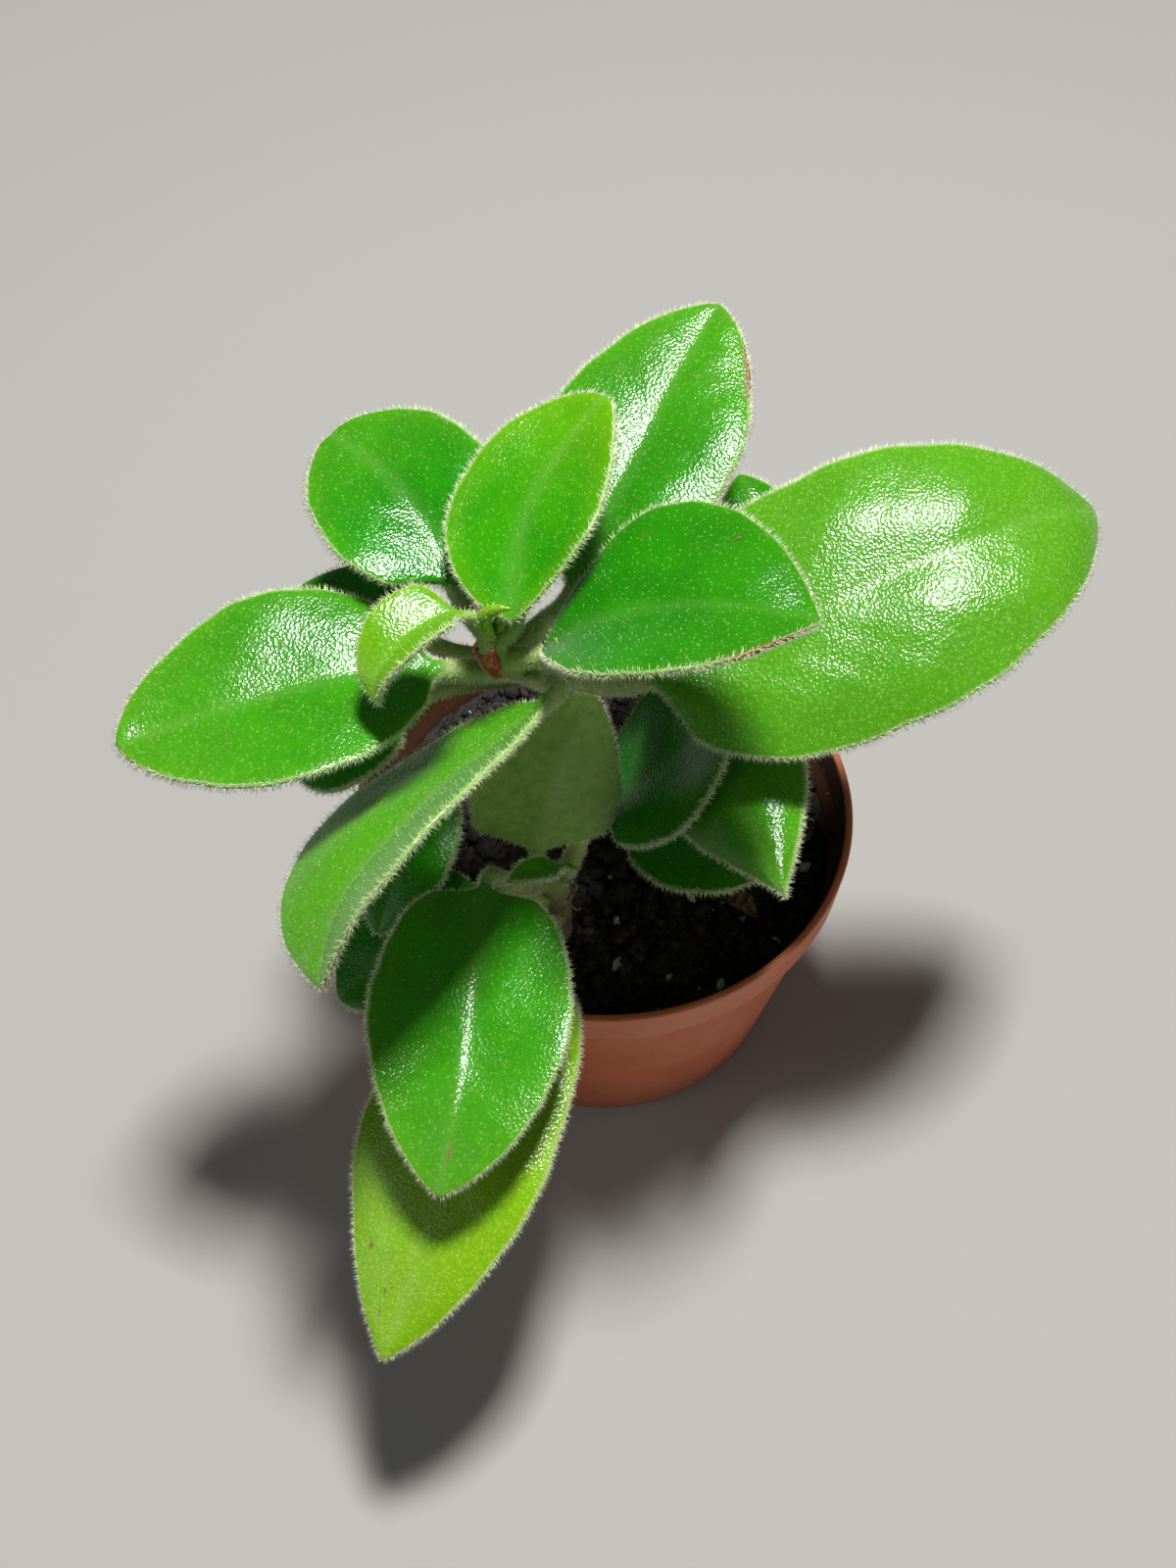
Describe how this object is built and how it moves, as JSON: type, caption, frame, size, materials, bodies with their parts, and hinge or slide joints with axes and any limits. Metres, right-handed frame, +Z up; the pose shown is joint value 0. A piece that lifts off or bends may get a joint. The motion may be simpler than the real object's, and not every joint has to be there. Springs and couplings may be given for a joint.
{
  "type": "potted peperomia plant",
  "caption": "Young potted plant with thick oval felty-edged leaves on short stout stems, in a shallow round tapered nursery pot.",
  "frame": {"origin": "middle of the pot's flat bottom", "axes": "+Z up; -Y is the front, where the longest hanging leaf points"},
  "size_m": [0.1488, 0.1455, 0.1469],
  "materials": {
    "pot_plastic": "satin terracotta-coloured plastic",
    "soil": "dark damp peat with pale specks",
    "stem": "short-haired, green turning tan",
    "leaf_green": "fleshy, glossy, fine short hairs",
    "leaf_lime": "fleshy, glossy, young yellow-green",
    "leaf_dark": "fleshy, glossy, older deep green",
    "dry_leaf": "dry and brown"
  },
  "bodies": {
    "root": {"pot": "pot_plastic", "soil": "soil", "stem_main": "stem", "stem_front": "stem", "stem_right": "stem", "leaf_right_big": "leaf_green", "leaf_back_top": "leaf_green", "leaf_upper_left": "leaf_green", "leaf_left_big": "leaf_green", "leaf_front_left": "leaf_green", "leaf_front": "leaf_green", "leaf_right_small": "leaf_green", "leaf_front_young": "leaf_green", "leaf_top_centre": "leaf_lime", "leaf_young_curl": "leaf_lime", "leaf_bottom": "leaf_lime", "bud": "leaf_lime", "leaf_centre_right": "leaf_dark", "leaf_underside": "leaf_dark", "leaf_centre_low": "leaf_dark", "leaf_low_shadow": "leaf_dark", "leaf_back_right": "leaf_dark", "leaf_back_left": "leaf_dark", "leaf_low_tip": "leaf_dark", "leaf_inner_left": "leaf_dark", "leaf_low_left": "leaf_dark", "dry_scrap_front": "dry_leaf", "dry_scrap_right": "dry_leaf"}
  },
  "joints": []
}
